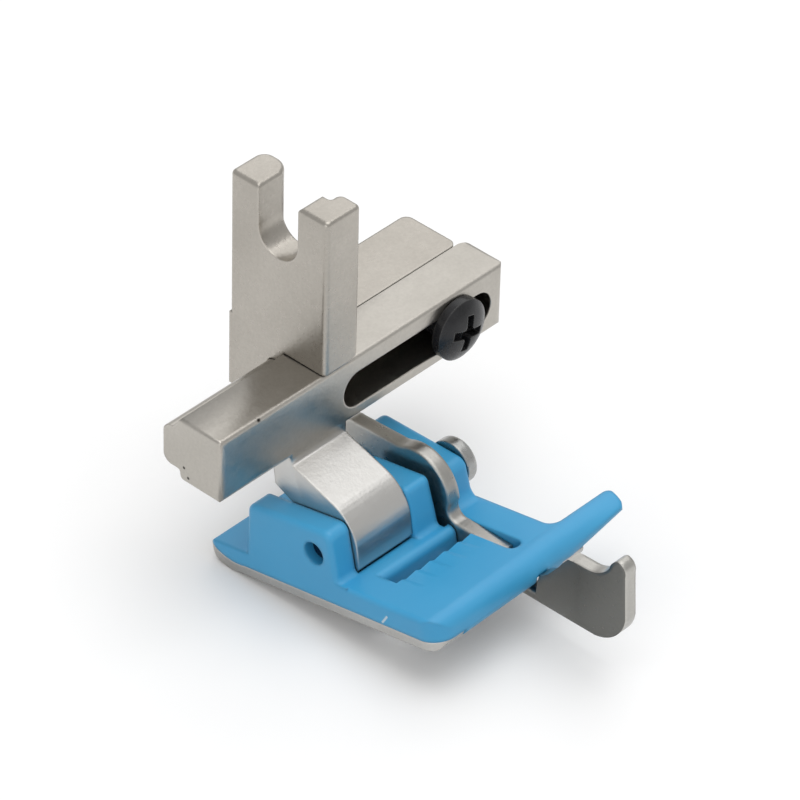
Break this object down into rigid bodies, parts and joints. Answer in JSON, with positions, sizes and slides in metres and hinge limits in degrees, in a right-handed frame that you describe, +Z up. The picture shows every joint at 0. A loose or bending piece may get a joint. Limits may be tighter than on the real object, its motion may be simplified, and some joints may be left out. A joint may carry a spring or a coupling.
{
  "type": "sewing machine presser foot",
  "caption": "Sewing machine presser foot: notched metal shank, slotted slide bar with a clamp screw, and a hinged plastic foot with a metal sole and a guide blade.",
  "frame": {"origin": "centre of the round bottom of the screw notch, halfway through the shank's plate", "axes": "+Z up along the presser bar, -Y towards the person sewing and the toe, +X to their right along the slide bar"},
  "size_m": [0.0306, 0.035, 0.0313],
  "materials": {
    "satin_nickel": "satin nickel over steel",
    "bright_nickel": "bright nickel over steel",
    "sole_metal": "satin sheet steel",
    "blade_metal": "satin steel",
    "black_oxide": "black oxide, slightly glossy",
    "blue_plastic": "satin moulded plastic"
  },
  "bodies": {
    "shank": {"shank": "satin_nickel"},
    "slide": {"slide_bar": "satin_nickel"},
    "screw": {"clamp_screw": "black_oxide"},
    "foot": {"foot_body": "blue_plastic", "sole_plate": "sole_metal", "hinge_pin": "bright_nickel"},
    "blade": {"guide_blade": "blade_metal"}
  },
  "joints": [
    {"name": "bar_slide", "type": "slide", "parent": "shank", "child": "slide", "axis": [1, 0, 0], "range_m": [-0.0023, 0.0104]},
    {"name": "screw_turn", "type": "hinge", "parent": "shank", "child": "screw", "pos_m": [0.01291, -0.00487, -0.01331], "axis": [0, -1, 0], "continuous": true},
    {"name": "foot_tilt", "type": "hinge", "parent": "slide", "child": "foot", "pos_m": [0, -0.00912, -0.02133], "axis": [1, 0, 0], "range_deg": [-8, 20]},
    {"name": "blade_swing", "type": "hinge", "parent": "foot", "child": "blade", "pos_m": [0, -0.00912, -0.02133], "axis": [1, 0, 0], "range_deg": [-6, 0]}
  ]
}
